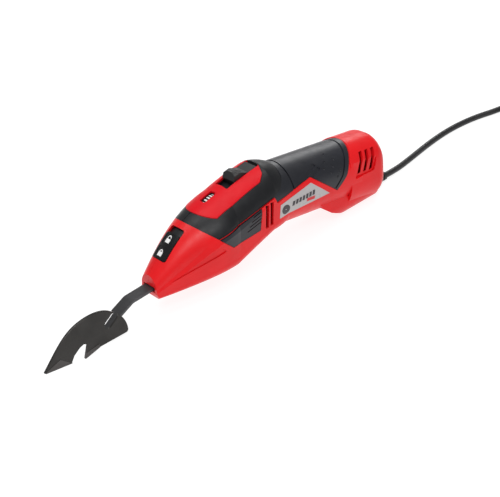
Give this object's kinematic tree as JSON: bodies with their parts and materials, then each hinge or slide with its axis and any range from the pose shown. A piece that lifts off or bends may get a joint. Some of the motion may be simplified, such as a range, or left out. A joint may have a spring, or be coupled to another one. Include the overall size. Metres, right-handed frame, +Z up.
{
  "type": "corded scraper",
  "caption": "Corded reciprocating scraper with a hooked carbide-edged joint blade, slide switch, lock slider and speed dial",
  "frame": {"origin": "middle of the tool's footprint box on the floor, cord left out, z = 0 is the floor it lies on", "axes": "+X from the blade to the rear of the handle, +Y to the tool's right side seen from behind, +Z up"},
  "size_m": [0.6083, 0.1013, 0.0867],
  "materials": {
    "red_shell": "moulded red plastic with a satin gloss",
    "red_panel": "moulded red insert with a satin gloss",
    "black_plastic": "fine-grained black moulded plastic",
    "switch_black": "ribbed black moulded plastic",
    "lock_black": "smooth black moulded plastic with white marks",
    "soft_grip": "dark soft moulded grip",
    "label_silver": "printed silver film",
    "dial_black": "black wheel with pale ribs",
    "blade_steel": "dark blackened steel",
    "shank_steel": "grey satin steel",
    "carbide": "ground hard-metal edge",
    "bright_steel": "ground steel",
    "gear_steel": "machined steel",
    "bronze": "sintered bronze",
    "frame_metal": "die-cast aluminium",
    "core_steel": "stacked laminations",
    "copper": "enamelled copper",
    "carbon": "carbon brush",
    "board": "green circuit board",
    "component": "electronic parts",
    "cord": "black rubber sheath",
    "tie": "black nylon tie",
    "pins": "nickel-plated"
  },
  "bodies": {
    "housing": {"bearing_plate": "black_plastic", "board_parts": "component", "brush_holders": "black_plastic", "brush_plate": "black_plastic", "brushes": "carbon", "capacitor": "component", "control_board": "board", "cord_clamp": "black_plastic", "cord_coil": "cord", "cord_lead": "cord", "cord_tail": "cord", "cord_tie": "tie", "dial_axle": "bright_steel", "field_windings": "copper", "front_bearing": "bright_steel", "front_bush": "bronze", "front_guide": "frame_metal", "gear_frame": "frame_metal", "handle_grip": "soft_grip", "housing_left": "red_shell", "housing_right": "red_shell", "housing_screws": "bright_steel", "label_left": "label_silver", "label_right": "label_silver", "lock_bed": "black_plastic", "plug_body": "black_plastic", "plug_pins": "pins", "rear_bearing": "bright_steel", "rear_bush": "bronze", "rear_guide": "frame_metal", "side_pad_left": "soft_grip", "side_pad_right": "soft_grip", "spindle_bearings": "bright_steel", "stator": "core_steel", "strain_relief": "cord", "switch_module": "black_plastic", "switch_tray": "black_plastic", "top_cover": "black_plastic", "top_panel": "red_panel"},
    "plunger": {"plunger_rod": "bright_steel", "tool_clamp": "bright_steel", "clamp_pin": "bright_steel", "shank": "shank_steel", "blade": "blade_steel", "carbide_tip": "carbide", "carbide_barb": "carbide", "yoke": "bright_steel"},
    "armature": {"motor_shaft": "bright_steel", "pinion": "gear_steel", "fan": "black_plastic", "armature_core": "core_steel", "armature_windings": "copper", "commutator": "copper"},
    "spindle_group": {"spindle": "bright_steel", "cam": "bright_steel", "crown_gear": "gear_steel"},
    "dial": {"speed_dial": "dial_black"},
    "switch_slide": {"switch_button": "switch_black"},
    "lock": {"lock_slider": "lock_black"}
  },
  "joints": [
    {"name": "plunger_slide", "type": "slide", "parent": "housing", "child": "plunger", "axis": [0.9993, 0, 0.0368], "range_m": [-0.0015, 0.0015]},
    {"name": "armature_spin", "type": "hinge", "parent": "housing", "child": "armature", "pos_m": [0.08226, 0, 0.04482], "axis": [0.988, 0, -0.1545], "continuous": true},
    {"name": "spindle_spin", "type": "hinge", "parent": "housing", "child": "spindle_group", "pos_m": [0.01903, 0, 0.05471], "axis": [0, 1, 0], "continuous": true},
    {"name": "dial_turn", "type": "hinge", "parent": "housing", "child": "dial", "pos_m": [-0.00052, 0, 0.06303], "axis": [0, 1, 0], "range_deg": [0, 240]},
    {"name": "switch_slide_joint", "type": "slide", "parent": "housing", "child": "switch_slide", "axis": [-0.9874, 0, -0.1583], "range_m": [0, 0.007]},
    {"name": "lock_slide_joint", "type": "slide", "parent": "housing", "child": "lock", "axis": [0.823, 0, 0.568], "range_m": [0, 0.006]}
  ],
  "couplings": [
    {"joint": "spindle_spin", "follows": "armature_spin", "ratio": -0.25}
  ]
}
